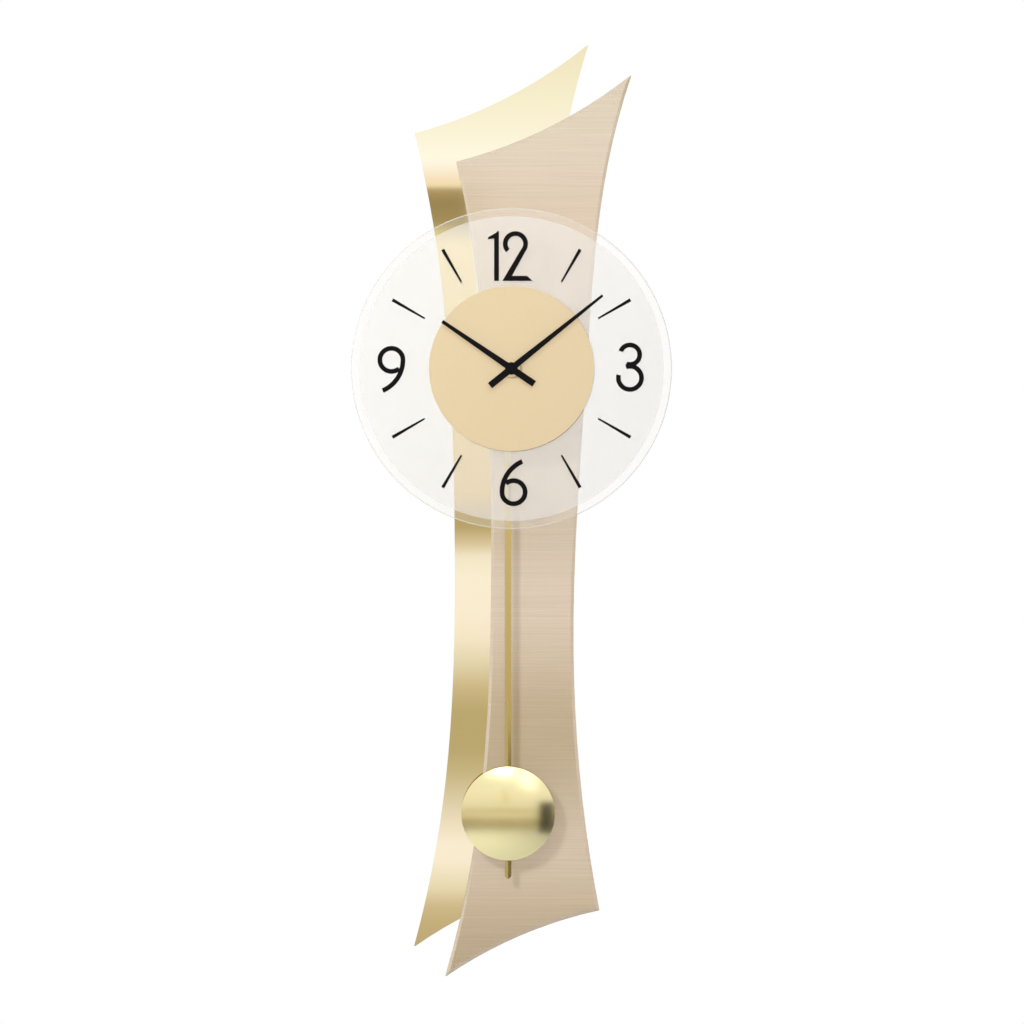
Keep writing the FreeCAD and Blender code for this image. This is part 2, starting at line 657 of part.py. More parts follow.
def build_going_train():
    pivot = disc("centre_pivot", "Sizes.pivot_radius", "2", "0", "Sizes.plate_back", "0")
    staff = disc("centre_staff", "Sizes.centre_arbor_radius", "17.4", "0",
                 f"Sizes.plate_back + Sizes.plate_thickness + {END_SHAKE}", "0")
    wheel = toothed("centre_teeth", centre, CENTRE_TEETH, CENTRE_MODULE, 3)
    node("centre_wheel", fuse("centre_fuse", wheel, staff, pivot))
    node("third_wheel", fuse(
        "third_fuse", toothed("third_pinion", third, THIRD_PINION, CENTRE_MODULE, 3),
        toothed("third_teeth", third, THIRD_TEETH, THIRD_MODULE, 2), *arbor("third", third)))
    node("fourth_wheel", fuse(
        "fourth_fuse", toothed("fourth_pinion", fourth, FOURTH_PINION, THIRD_MODULE, 2),
        toothed("fourth_teeth", fourth, FOURTH_TEETH, FOURTH_MODULE, 1),
        *arbor("fourth", fourth)))
    node("fifth_wheel", fuse(
        "fifth_fuse", toothed("fifth_pinion", fifth, FIFTH_PINION, FOURTH_MODULE, 1),
        toothed("fifth_teeth", fifth, FIFTH_TEETH, FIFTH_MODULE, 0), *arbor("fifth", fifth)))
    node("rotor_pinion", fuse(
        "rotor_fuse", toothed("rotor_teeth", rotor, ROTOR_PINION, FIFTH_MODULE, 0),
        *arbor("rotor", rotor)))
    node("rotor_magnet", ring("magnet", "2.2", "Sizes.arbor_radius", "2",
                              f"{rotor['x']}", "45.4", f"{rotor['z']}"))


def build_motion_work():
    pipe = disc("cannon_pipe_solid", "Sizes.cannon_pipe",
                "Sizes.minute_hand_back + Sizes.hand_thickness - (" + level_back(4) + ")",
                "0", level_back(4), "0")
    bore = disc("cannon_bore_cut", "Sizes.cannon_bore", "30", "0", "40", "0")
    teeth = toothed("cannon_teeth", centre, CANNON_TEETH, CANNON_MODULE, 4)
    node("cannon_pinion", cut("cannon_cut", fuse("cannon_fuse", pipe, teeth), bore))

    pipe = disc("hour_pipe_solid", "Sizes.hour_pipe",
                "Sizes.hour_hand_back + Sizes.hand_thickness - (" + level_back(5) + ")",
                "0", level_back(5), "0")
    bore = disc("hour_bore_cut", "Sizes.hour_bore", "30", "0", "40", "0")
    teeth = toothed("hour_teeth", centre, HOUR_TEETH, HOUR_MODULE, 5)
    node("hour_wheel", cut("hour_cut", fuse("hour_fuse", pipe, teeth), bore))

    node("minute_wheel", fuse(
        "minute_fuse", toothed("minute_teeth", minute, MINUTE_TEETH, CANNON_MODULE, 4),
        toothed("minute_pinion", minute, MINUTE_PINION, HOUR_MODULE, 5),
        *arbor("minute", minute)))

    x, z = f"{setting['x']}", f"{setting['z']}"
    knob_front = "Sizes.knob_back + Sizes.knob_thickness"
    shaft = disc("setting_staff", "Sizes.setting_shaft_radius",
                 f"{FRONT_WALL_BACK} - {END_SHAKE} - ({knob_front})", x, knob_front, z)
    tip = disc("setting_tip", "Sizes.pivot_radius", "2", x,
               f"{FRONT_WALL_BACK} + {PIVOT_TIP} - 2", z)
    teeth = toothed("setting_teeth", setting, SETTING_PINION, CANNON_MODULE, 4)
    node("setting_shaft", fuse("setting_fuse", teeth, shaft, tip))
    knob = disc("knob_solid", "Sizes.knob_radius", "Sizes.knob_thickness", x,
                "Sizes.knob_back", z)
    grooves = [disc(f"knob_groove_{i}", "0.5", "Sizes.knob_thickness + 2",
                    f"{setting['x']} + Sizes.knob_radius * cos({30 * i})",
                    "Sizes.knob_back - 1",
                    f"{setting['z']} + Sizes.knob_radius * sin({30 * i})") for i in range(12)]
    node("setting_knob", cut("knob_cut", knob, *grooves))


# ---------------------------------------------------------------- movement

def build_case():
    outer = block("rear_case_outer", "Sizes.case_width", "Sizes.case_split",
                  "Sizes.case_top - Sizes.case_bottom", "-Sizes.case_width / 2", CASE_BACK,
                  "Sizes.case_bottom")
    inside_width = "Sizes.case_width - 2 * Sizes.case_wall"
    inside_height = "Sizes.case_top - Sizes.case_bottom - 2 * Sizes.case_wall"
    inner = block("rear_case_inner", inside_width, "Sizes.case_split", inside_height,
                  "Sizes.case_wall - Sizes.case_width / 2", f"{CASE_BACK} + Sizes.case_wall",
                  "Sizes.case_bottom + Sizes.case_wall")
    battery_hole = block("battery_hole", "15.5", "4", "54", "11", f"{CASE_BACK} - 1", "-48.5")
    shaft_hole = disc("setting_hole", "Sizes.setting_shaft_hole", "4", f"{setting['x']}",
                      f"{CASE_BACK} - 1", f"{setting['z']}")
    lever_slot = block("lever_slot", "21", "5.5", "4", "-10.5 - Sizes.pendulum_offset",
                       "36.3", "Sizes.case_bottom - 1")
    rib = block("battery_rib", "15.5", "Sizes.case_split - Sizes.case_wall", "1.2", "11",
                f"{CASE_BACK} + Sizes.case_wall", "5.5")
    posts = discs_at("circuit_post", [(-24, 17), (7, 17), (-24, -45), (7, -45)], "1.2",
                     f"Sizes.circuit_back - ({CASE_BACK}) - Sizes.case_wall",
                     f"{CASE_BACK} + Sizes.case_wall")
    lugs = [block(f"lug_{i}", "Sizes.lug_size", "Sizes.lug_thickness", "Sizes.lug_size",
                  f"{x} - Sizes.lug_size / 2", CASE_BACK, f"{z} - Sizes.lug_size / 2")
            for i, (x, z) in enumerate(LUGS)]
    lug_holes = discs_at("lug_bore", LUGS, "Sizes.lug_hole", "6", f"{CASE_BACK} - 1")
    tray = cut("rear_case_tray", fuse("rear_case_body", outer, *lugs), inner)
    tray = fuse("rear_case_ribbed", tray, rib, *posts)
    node("movement_rear_case", cut("rear_case_cut", tray, battery_hole, shaft_hole,
                                   lever_slot, *lug_holes))

    split = f"{CASE_BACK} + Sizes.case_split"
    front_depth = "Sizes.case_depth - Sizes.case_split"
    outer = block("front_case_outer", "Sizes.case_width", front_depth,
                  "Sizes.case_top - Sizes.case_bottom", "-Sizes.case_width / 2", split,
                  "Sizes.case_bottom")
    inner = block("front_case_inner", inside_width, f"{front_depth} - Sizes.case_wall + 1",
                  inside_height, "Sizes.case_wall - Sizes.case_width / 2", f"{split} - 1",
                  "Sizes.case_bottom + Sizes.case_wall")
    bushing_hole = disc("bushing_hole", "Sizes.bushing_radius", "4", "0",
                        f"{FRONT_WALL_BACK} - 1", "0")
    arbors = [third, fourth, fifth, rotor, minute, setting]
    bearings = discs_at("front_bearing", [(a["x"], a["z"]) for a in arbors],
                        "Sizes.pivot_hole", "2", f"{FRONT_WALL_BACK} - 1.1")
    node("movement_front_case", cut("front_case_cut", outer, inner, bushing_hole, *bearings))


def build_inside():
    plate = block("plate_blank", "36.7", "Sizes.plate_thickness", "56.5", "-26.5",
                  "Sizes.plate_back", "-36")
    arbors = [centre, third, fourth, fifth, rotor, minute]
    bearings = discs_at("plate_bearing", [(a["x"], a["z"]) for a in arbors],
                        "Sizes.pivot_hole", "3", "Sizes.plate_back - 1")
    posts = discs_at("stator_post", [(-25.3, 13.8), (-24.3, -31.8)], "0.8",
                     "46 - Sizes.plate_back", "Sizes.plate_back")
    node("train_plate", cut("plate_cut", fuse("plate_fuse", plate, *posts), *bearings))

    stator = doc.addObject("PartDesign::Body", "stator_body")
    sketch = body_sketch(stator, "stator_outline")
    polygon(sketch, [(-26.3, 15), (-19, 15), (-19, -7), (-23.4, -7), (-23.4, 4), (-25, 4),
                     (-25, -30.5), (-19, -30.5), (-19, -33), (-26.3, -33)])
    pad(stator, sketch, "0.8")
    hole = disc("rotor_gap", "2.6", "4", f"{rotor['x']}", "44", f"{rotor['z']}")
    node("motor_stator", cut("stator_cut", stand(stator, "0", "46", "0"), hole))
    core = block("core_bar", "1.6", "0.8", "28", "-22", "45.2", "-33")
    node("motor_coil_core", core)
    winding = rod_up("winding_solid", "2.9", "21", "-21.2", "45.6", "-29.5")
    slot = block("winding_slot", "1.6", "0.8", "28", "-22", "45.2", "-33")
    node("motor_coil_winding", cut("winding_cut", winding, slot))

    circuit_front = "Sizes.circuit_back + Sizes.circuit_thickness"
    node("circuit_board", block("circuit_blank", "35", "Sizes.circuit_thickness", "66", "-26",
                                "Sizes.circuit_back", "-47"))
    node("control_chip", disc("chip_blob", "4", "1.2", "-20", circuit_front, "-18"))
    node("quartz_crystal", rod_up("crystal_can", "1.5", "8", "-20", f"{circuit_front} + 1.5",
                                  "-44"))
    node("pendulum_drive_coil", ring("drive_coil", "8", "3", "1.8", "-Sizes.pendulum_offset",
                                     circuit_front, "Sizes.drive_height"))

    cell = rod_up("battery_can", "Sizes.battery_radius", "Sizes.battery_length",
                  "Sizes.battery_x", "Sizes.battery_axis_depth", "Sizes.battery_bottom")
    nub = rod_up("battery_nub", "Sizes.battery_nub_radius",
                 "Sizes.battery_length + Sizes.battery_nub_length", "Sizes.battery_x",
                 "Sizes.battery_axis_depth", "Sizes.battery_bottom")
    node("battery", fuse("battery_fuse", cell, nub))
    strip = block("negative_strip", "10", "10", "0.4", "14", "35.2", "-48.5")
    leaf = block("negative_leaf", "5", "6", "1.6", "16.5", "37.2", "-48.1")
    node("battery_contact_negative", fuse("negative_fuse", strip, leaf))
    strip = block("positive_strip", "10", "8", "0.4", "14", "35.2", "5.1")
    dimple = rod_up("positive_dimple", "1.5", "1.1", "Sizes.battery_x",
                    "Sizes.battery_axis_depth", "4")
    node("battery_contact_positive", fuse("positive_fuse", strip, dimple))


# ---------------------------------------------------------------- dial

MOVEMENT_FRONT = f"{CASE_BACK} + Sizes.case_depth"
GLASS_BACK = f"{MOVEMENT_FRONT} + Sizes.rubber_thickness"
PRINT_BACK = f"{GLASS_BACK} + Sizes.glass_thickness + Sizes.print_gap"
MARKS_BACK = f"{PRINT_BACK} + Sizes.print_thickness"
WASHER_BACK = f"{MARKS_BACK} + Sizes.disc_thickness"
NUT_BACK = f"{WASHER_BACK} + Sizes.nut_washer_thickness"


def bevelled_disc(name, radius, thickness, bevel, hole):
    """A round plate with a hole and a bevel round both rims."""
    body = doc.addObject("PartDesign::Body", name)
    outline = body_sketch(body, name + "_outline")
    circle(outline, radius)
    circle(outline, hole)
    solid = pad(body, outline, f"Sizes.{thickness}")
    rims = [f"Edge{i}" for i, edge in enumerate(solid.Shape.Edges, start=1)
            if edge.BoundBox.ZLength < 1e-6 and edge.BoundBox.XLength > 1.9 * size(radius)]
    chamfer = body.newObject("PartDesign::Chamfer", name + "_bevel")
    chamfer.Base = (solid, rims)
    chamfer.setExpression("Size", f"Sizes.{bevel}")
    doc.recompute()
    return body


def ring_sector(x, y, radius, start, end, width):
    """A bent stroke: its middle line is an arc from start to end, in degrees."""
    inner, outer = radius - width / 2, radius + width / 2
    a, b = math.radians(start), math.radians(end)
    middle = (a + b) / 2
    edges = [Part.Arc(at(outer, a, x, y), at(outer, middle, x, y), at(outer, b, x, y)).toShape(),
             Part.LineSegment(at(outer, b, x, y), at(inner, b, x, y)).toShape(),
             Part.Arc(at(inner, b, x, y), at(inner, middle, x, y), at(inner, a, x, y)).toShape(),
             Part.LineSegment(at(inner, a, x, y), at(outer, a, x, y)).toShape()]
    return Part.Face(Part.Wire(edges))


def patch(*points):
    """A flat area with straight edges."""
    return Part.Face(Part.makePolygon([Vector(x, y, 0) for x, y in points + points[:1]]))


def figure_one(stroke):
    right = -9.0
    left = right - stroke
    return [patch((left, 62.8), (right, 62.8), (right, 98.4), (-10.2, 98.4), (-10.9, 97.4),
                  (left, 96.5)),
            patch((-16.9, 94.0), (-16.7, 92.6), (left + 0.1, 93.2), (left + 0.1, 96.55))]


def figure_two(stroke):
    radius = 9.0 - stroke / 2
    x, y = 2.85, 89.4
    bend = -38
    low = math.radians(bend)
    inner, outer = radius - stroke / 2, radius + stroke / 2
    return [ring_sector(x, y, radius, 222, bend, stroke),
            patch((x + outer * math.cos(low), y + outer * math.sin(low)),
                  (x + inner * math.cos(low), y + inner * math.sin(low)),
                  (-6.4, 63.0), (-1.2, 63.6)),
            patch((-6.4, 62.8), (15.1, 62.8), (11.2, 66.4), (-3.2, 66.4))]


def figure_three(stroke):
    x = 84.9
    upper, lower = 8.7 - stroke / 2, 10.0 - stroke / 2
    return [ring_sector(x, 9.9, upper, 160, -112, stroke),
            ring_sector(x, -6.7, lower, 110, -195, stroke)]


def figure_six(stroke):
    x, y = 1.5, -88.6
    bowl = 10.0 - stroke / 2
    sweep = 25.6 - stroke / 2
    return [ring_sector(x, y, bowl, 180, -228, stroke),
            ring_sector(x - bowl + sweep, y, sweep, 180, 113, stroke),
            ring_sector(x, y, bowl, 180, 300, stroke)]


def printed(name, faces):
    """Ink: flat faces made one, raised by the thickness of the print."""
    area = faces[0].multiFuse(faces[1:]).removeSplitter() if len(faces) > 1 else faces[0]
    ink = doc.addObject("Part::Feature", name)
    ink.Shape = area.extrude(Vector(0, 0, size("print_thickness")))
    return stand(ink, "0", MARKS_BACK, "0")


def build_dial():
    node("threaded_bushing", ring("bushing", "Sizes.bushing_radius", "Sizes.bushing_bore",
                                  "Sizes.bushing_length", "0", FRONT_WALL_BACK, "0"))
    node("rubber_washer", ring("rubber", "Sizes.rubber_radius", "Sizes.bushing_radius",
                               "Sizes.rubber_thickness", "0", MOVEMENT_FRONT, "0"))
    glass = bevelled_disc("glass_body", "glass_radius", "glass_thickness", "glass_bevel",
                          "glass_hole")
    node("dial_glass", stand(glass, "0", GLASS_BACK, "0"))
    node("dial_print", ring("print", "Sizes.print_radius", "Sizes.glass_hole",
                            "Sizes.print_thickness", "0", PRINT_BACK, "0"))

    stroke = size("stroke")
    nine = printed("nine", figure_six(stroke))
    nine.Placement.Rotation = FACE_FRONT.multiply(FreeCAD.Rotation(Vector(0, 0, 1), 180))
    nine.setExpression("Placement.Base.x", "-84.5")
    nine.setExpression("Placement.Base.z", "-82.4 - Sizes.dial_drop")
    node("dial_numerals", group("numeral_group", [
        printed("one", figure_one(stroke)), printed("two", figure_two(stroke)),
        printed("three", figure_three(stroke)), printed("six", figure_six(stroke)), nine]))

    ticks = []
    for hour in (1, 2, 4, 5, 7, 8, 10, 11):
        half_in, half_out = size("tick_inner_width") / 2, size("tick_outer_width") / 2
        tick = doc.addObject("Part::Feature", f"tick_{hour}")
        face = patch((-half_in, size("tick_inner")), (half_in, size("tick_inner")),
                     (half_out, size("tick_outer")), (-half_out, size("tick_outer")))
        tick.Shape = face.extrude(Vector(0, 0, size("print_thickness")))
        ticks.append(stand(tick, "0", MARKS_BACK, "0", -30 * hour))
    node("hour_ticks", group("tick_group", ticks))

    node("inner_disc", ring("inner", "Sizes.disc_radius", "Sizes.glass_hole",
                            "Sizes.disc_thickness", "0", MARKS_BACK, "0"))
    node("nut_washer", ring("nut_ring", "Sizes.nut_washer_radius", "Sizes.bushing_radius",
                            "Sizes.nut_washer_thickness", "0", WASHER_BACK, "0"))
    nut = bevelled_disc("nut_body", "nut_radius", "nut_thickness", "nut_bevel", "bushing_radius")
    node("dial_nut", stand(nut, "0", NUT_BACK, "0"))


# ---------------------------------------------------------------- hands

def build_hand(name, length_alias, tip_alias, back_alias, hole_alias, angle_alias):
    body = doc.addObject("PartDesign::Body", name + "_body")
    blade = body_sketch(body, name + "_blade")
    root, tip = size("hand_root_width") / 2, size(tip_alias) / 2
    tail, end = size("hand_tail_width") / 2, -size("hand_tail")
    length = size(length_alias)
    polygon(blade, [(-tip, length), (-root, 0), (-tail, -1), (-tail, end),
                    (tail, end), (tail, -1), (root, 0), (tip, length)])
    pad(body, blade, "Sizes.hand_thickness")
    hub = body_sketch(body, name + "_hub")
    circle(hub, "hand_hub_radius")
    pad(body, hub, "Sizes.hand_thickness")
    hole = body_sketch(body, name + "_hole")
    circle(hole, hole_alias)
    pocket_through(body, hole, 1.0)
    node(name, stand(body, "0", f"Sizes.{back_alias}", "0", -size(angle_alias)))


def build_hands():
    build_hand("hour_hand", "hour_hand_length", "hour_hand_tip", "hour_hand_back",
               "hour_pipe", "hour_hand_angle")
    build_hand("minute_hand", "minute_hand_length", "minute_hand_tip", "minute_hand_back",
               "cannon_pipe", "minute_hand_angle")
    cap = disc("cap_solid", "Sizes.cap_radius", "Sizes.cap_thickness", "0",
               "Sizes.minute_hand_back + Sizes.hand_thickness", "0")
    node("hand_cap", cap)


# ---------------------------------------------------------------- pendulum

PENDULUM_X = "-Sizes.pendulum_offset"


def build_hook():
    pin = disc("pin_shaft", "Sizes.pivot_pin_radius", "Sizes.plate_back - 36.6", PENDULUM_X,
               "36.6", "Sizes.pivot_height")
    head = disc("pin_head", "1.6", "1.0", PENDULUM_X, "36.6", "Sizes.pivot_height")
    shoulder = disc("pin_shoulder", "1.6", "1.1", PENDULUM_X, "40.4", "Sizes.pivot_height")
    node("pendulum_pivot_pin", fuse("pin_fuse", pin, head, shoulder))

    strip = block("lever_strip", "Sizes.lever_width", "Sizes.lever_thickness",
                  "Sizes.pivot_height - Sizes.lever_bottom",
                  f"{PENDULUM_X} - Sizes.lever_width / 2", "Sizes.lever_back",
                  "Sizes.lever_bottom")
    eye = disc("lever_eye", "Sizes.lever_width / 2", "Sizes.lever_thickness", PENDULUM_X,
               "Sizes.lever_back", "Sizes.pivot_height")
    hook = disc("lever_hook", "Sizes.hook_radius", "2.4", PENDULUM_X,
                "Sizes.lever_back + Sizes.lever_thickness - 0.2", "Sizes.hook_height")
    hole = disc("lever_hole", "Sizes.hanger_eye", "Sizes.lever_thickness + 2", PENDULUM_X,
                "Sizes.lever_back - 1", "Sizes.pivot_height")
    node("pendulum_hanger", cut("lever_cut", fuse("lever_fuse", strip, eye, hook), hole))
    node("hanger_magnet", disc("lever_magnet", "2.4", "1.1", PENDULUM_X,
                               "Sizes.lever_back - 1.1", "Sizes.drive_height"))


def build_rod():
    """A strip with a flat back, a low ridge along its front and a pointed end."""
    half, edge, ridge = size("rod_width") / 2, size("rod_edge"), size("rod_ridge")
    back = size("lever_back") + size("lever_thickness")
    section = Part.Face(Part.makePolygon([Vector(x, -back - y, size("rod_bottom")) for x, y in (
        (-half, 0), (half, 0), (half, edge), (0, ridge), (-half, edge), (-half, 0))]))
    strip = doc.addObject("Part::Feature", "rod_strip")
    strip.Shape = section.extrude(Vector(0, 0, size("rod_top") - size("rod_bottom")))
    strip.setExpression("Placement.Base.x", PENDULUM_X)
    strip.setExpression("Placement.Base.z", "-Sizes.dial_drop")
    hole = disc("rod_hole", "Sizes.hook_radius + 0.05", "6", PENDULUM_X,
                "Sizes.lever_back", "Sizes.hook_height")
    corners = []
    point = size("rod_point")
    for side in (-1, 1):
        chip = doc.addObject("Part::Feature", f"rod_chip_{'left' if side < 0 else 'right'}")
        face = patch((side * 0.5, -1), (side * (half + 1), -1),
                     (side * (half + 1), point), (side * half, point), (side * 0.5, 0))
        chip.Shape = face.extrude(Vector(0, 0, 6))
        stand(chip, PENDULUM_X, "Sizes.lever_back", "Sizes.rod_bottom")
        corners.append(chip)
    node("pendulum_rod", cut("rod_cut", strip, hole, *corners))


def dome(name, ball, middle_depth, radius, back):
    """A round slug with a domed front: the part of a ball inside a cylinder."""
    sphere = doc.addObject("Part::Sphere", name + "_ball")
    sphere.setExpression("Radius", ball)
    sphere.setExpression("Placement.Base.x", PENDULUM_X)
    sphere.setExpression("Placement.Base.y", f"-({middle_depth})")
    sphere.setExpression("Placement.Base.z", "Sizes.bob_height - Sizes.dial_drop")
    common = doc.addObject("Part::Common", name)
    common.Base = sphere
    common.Tool = disc(name + "_slug", radius, "Sizes.bob_dome + 2", PENDULUM_X, back,
                       "Sizes.bob_height")
    return common


def build_bob():
    plate_front = "Sizes.bob_plate_back + Sizes.bob_plate_thickness"
    rise = "(Sizes.bob_dome - Sizes.bob_rim)"
    ball = f"(Sizes.bob_radius ^ 2 + {rise} ^ 2) / (2 * {rise})"
    middle_depth = f"{plate_front} + Sizes.bob_dome - {ball}"
    outside = dome("bob_outside", ball, middle_depth, "Sizes.bob_radius", plate_front)
    inside = dome("bob_inside", f"{ball} - Sizes.bob_shell", middle_depth,
                  "Sizes.bob_radius - Sizes.bob_shell", f"{plate_front} - 1")
    node("bob_shell", cut("bob_cut", outside, inside))
    node("bob_back_plate", disc("bob_plate", "Sizes.bob_radius", "Sizes.bob_plate_thickness",
                                PENDULUM_X, "Sizes.bob_plate_back", "Sizes.bob_height"))

    rod_back = "(Sizes.lever_back + Sizes.lever_thickness)"
    strap_back = f"{rod_back} - Sizes.clip_gap - Sizes.clip_thickness"
    leg_reach = f"Sizes.bob_plate_back - ({strap_back})"
    inner = "(Sizes.rod_width / 2 + Sizes.clip_gap)"
    bottom = "Sizes.bob_height - Sizes.clip_height / 2"
    strap = block("clip_strap", f"2 * {inner} + 2 * Sizes.clip_thickness",
                  "Sizes.clip_thickness", "Sizes.clip_height",
                  f"{PENDULUM_X} - {inner} - Sizes.clip_thickness", strap_back, bottom)
    left = block("clip_left", "Sizes.clip_thickness", leg_reach, "Sizes.clip_height",
                 f"{PENDULUM_X} - {inner} - Sizes.clip_thickness", strap_back, bottom)
    right = block("clip_right", "Sizes.clip_thickness", leg_reach, "Sizes.clip_height",
                  f"{PENDULUM_X} + {inner}", strap_back, bottom)
    node("bob_clip", fuse("clip_fuse", strap, left, right))


# ---------------------------------------------------------------- build and write

def check_and_write():
    doc.recompute()
    for thing in doc.Objects:
        bad = [word for word in thing.State if word in ("Invalid", "Error")]
        assert not bad, f"{thing.Name}: {bad}"
    for name, thing in nodes.items():
        shape = thing.Shape
        assert not shape.isNull() and shape.isValid() and shape.Solids, name
    os.makedirs("parts", exist_ok=True)
    for name, thing in nodes.items():
        thing.Shape.exportStep(f"parts/{name}.step")
        print(f"{name}: {len(thing.Shape.Solids)} solid(s), {thing.Shape.Volume:.1f} mm3")


build_rear_panel()
build_front_panel()
build_fixings()
build_hanger_block()
build_hanger()
build_going_train()
build_motion_work()
build_case()
build_inside()
build_dial()
build_hands()
build_hook()
build_rod()
build_bob()
check_and_write()
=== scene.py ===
import math

import bpy
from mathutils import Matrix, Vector


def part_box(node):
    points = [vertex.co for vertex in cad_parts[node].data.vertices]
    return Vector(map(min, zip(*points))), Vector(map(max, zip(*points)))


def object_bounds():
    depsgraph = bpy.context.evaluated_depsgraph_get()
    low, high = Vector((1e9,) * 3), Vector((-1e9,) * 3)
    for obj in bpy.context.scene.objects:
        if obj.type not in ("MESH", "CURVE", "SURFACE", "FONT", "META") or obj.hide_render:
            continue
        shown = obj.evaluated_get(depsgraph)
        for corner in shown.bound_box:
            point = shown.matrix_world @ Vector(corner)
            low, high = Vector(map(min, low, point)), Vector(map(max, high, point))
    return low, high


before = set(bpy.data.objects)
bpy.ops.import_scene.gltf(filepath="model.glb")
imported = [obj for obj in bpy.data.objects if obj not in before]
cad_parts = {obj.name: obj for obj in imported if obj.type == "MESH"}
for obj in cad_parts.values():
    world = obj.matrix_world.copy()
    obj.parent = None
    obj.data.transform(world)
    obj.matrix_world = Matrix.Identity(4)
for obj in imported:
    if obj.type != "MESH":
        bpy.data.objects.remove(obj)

CAD_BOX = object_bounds()

# ---------------------------------------------------------------- places, in metres

GLASS_LOW, GLASS_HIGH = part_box("dial_glass")
DIAL_X = (GLASS_LOW.x + GLASS_HIGH.x) / 2
DIAL_Z = (GLASS_LOW.z + GLASS_HIGH.z) / 2
DIAL_RADIUS = (GLASS_HIGH.x - GLASS_LOW.x) / 2
CLOCK_BOTTOM = CAD_BOX[0][2]

FLOOR_DROP = 0.25                    # how far the floor lies below the clock
FLOOR_Z = CLOCK_BOTTOM - FLOOR_DROP
FLOOR_SIZE = 3.0

CAMERA_DISTANCE = 10.0
VIEW_WIDTH = 0.7337                  # what the picture spans at the dial's plane
VIEW_X, VIEW_Z = 0.0004, -0.2528     # the middle of the picture
SENSOR = 36.0                        # in millimetres

# ---------------------------------------------------------------- looks

GLASS_VEIL = 0.08                    # how much each face of the glass whitens what is behind it
RIM_VEIL = 0.5                       # and in the bevelled rim
RIM_START = 0.0009                   # how far inside the glass's edge the rim's veil starts
RIM_FULL = 0.0005                    # and how far inside the edge it is full
GLASS_GLOSS = 0.03                   # the share of a clear reflection on each face
PRINT_COVER = 0.3                    # how much each face of the print hides

# Nodes that don't show in the metal, where the print's unlit back would look grey.
UNSEEN_IN_METAL = ("dial_print", "dial_glass")
# Nodes that cast no shadow on what is behind them.
WITHOUT_SHADOW = UNSEEN_IN_METAL + ("hour_hand", "minute_hand", "hand_cap")

# ---------------------------------------------------------------- studio

ROOM_SEEN = 1.0                      # the white room's strength, in view and in the metal
ROOM_LIGHT = 0.17                    # and as light on matt surfaces

CARD_DISTANCE = 1.5
CARD_WIDTH = 7.0
# Where along the clock the graded card shows, from the top down, and its colour there.
CARD_BANDS = [
    (0.30, (1.00, 1.00, 1.00)), (0.081, (0.92, 0.90, 0.80)), (0.018, (1.02, 1.04, 1.05)),
    (0.000, (1.06, 1.10, 1.20)), (-0.012, (1.00, 0.90, 0.84)), (-0.240, (0.96, 0.92, 0.88)),
    # The two darker bands here are painted shade: through the brushed sheet's reflection of the
    # card, they stand in for the dial's shadow on the sheet just below the dial.
    (-0.262, (0.66, 0.62, 0.56)), (-0.276, (0.70, 0.66, 0.60)),
    (-0.285, (0.94, 0.92, 0.90)), (-0.300, (1.02, 0.98, 0.98)), (-0.328, (1.01, 0.96, 0.97)),
    (-0.345, (0.96, 0.90, 0.86)), (-0.362, (0.80, 0.75, 0.63)), (-0.379, (0.64, 0.54, 0.36)),
    (-0.396, (0.52, 0.44, 0.25)), (-0.424, (0.52, 0.44, 0.25)), (-0.440, (0.60, 0.53, 0.34)),
    (-0.491, (1.01, 0.96, 0.97)), (-0.503, (1.01, 0.96, 0.97)), (-0.524, (0.84, 0.78, 0.65)),
    (-0.535, (0.66, 0.56, 0.40)), (-0.548, (0.58, 0.49, 0.31)), (-0.62, (0.40, 0.34, 0.22)),
]
# A second card, just nearer than the first and left of its middle, for the strip of the
# mirror sheet that runs behind the dial.
LEFT_CARD_DISTANCE = CARD_DISTANCE - 0.01
LEFT_CARD_START = -0.1
LEFT_CARD_EDGE = (-0.0325, -0.0080)  # where its right edge shows, at its top and its foot
LEFT_BANDS = [
    (-0.012, (1.00, 0.85, 0.76)), (-0.0185, (1.00, 0.87, 0.69)), (-0.0205, (0.43, 0.34, 0.18)),
    (-0.030, (0.335, 0.255, 0.128)), (-0.045, (0.38, 0.31, 0.155)), (-0.060, (1.00, 0.88, 0.40)),
    (-0.240, (0.78, 0.55, 0.10)), (-0.255, (0.50, 0.41, 0.22)), (-0.264, (0.51, 0.42, 0.23)),
    (-0.276, (0.74, 0.65, 0.50)), (-0.285, (0.94, 0.92, 0.90)),
]

# Each lamp head: its name, its place, its width and height, its strength in the middle, and
# where it reaches that strength, from 0 at its rim to 1 only in the middle.
LAMP_HEADS = [
    ("soft_box", (0.1, -1.45, 0.60), (1.5, 1.5), 4.0, 0.9),
    ("low_box", (0.40, -1.44, 0.22), (0.6, 0.9), 2.2, 1.0),
]
LAMP_TARGET = (0, 0, -0.45)
LAMP_RIM = 0.95                      # a lamp head's strength at its rim, near that of the card

FLAG_PLACE = (0.154, -0.26, -0.490)
FLAG_TARGET = (0.03, -0.05, -0.48)
FLAG_WIDTH, FLAG_HEIGHT = 0.065, 0.13
FLAG_TONE = (0.02, 0.02, 0.02, 1)

KEY_PLACE = (-0.70, -1.15, 0.25)
KEY_TARGET = (0, 0, -0.25)
KEY_SIZE = 0.25
KEY_RADIANCE = 80.0


# ---------------------------------------------------------------- small helpers

def linear(red, green, blue):
    """A screen colour, 0 to 255, as scene-linear red, green, blue, alpha."""
    def channel(value):
        value /= 255
        return value / 12.92 if value <= 0.04045 else ((value + 0.055) / 1.055) ** 2.4
    return (channel(red), channel(green), channel(blue), 1.0)


def shade(tone, amount):
    """The same tone, lighter or darker."""
    return tuple(min(1.0, channel * amount) for channel in tone[:3]) + (1.0,)


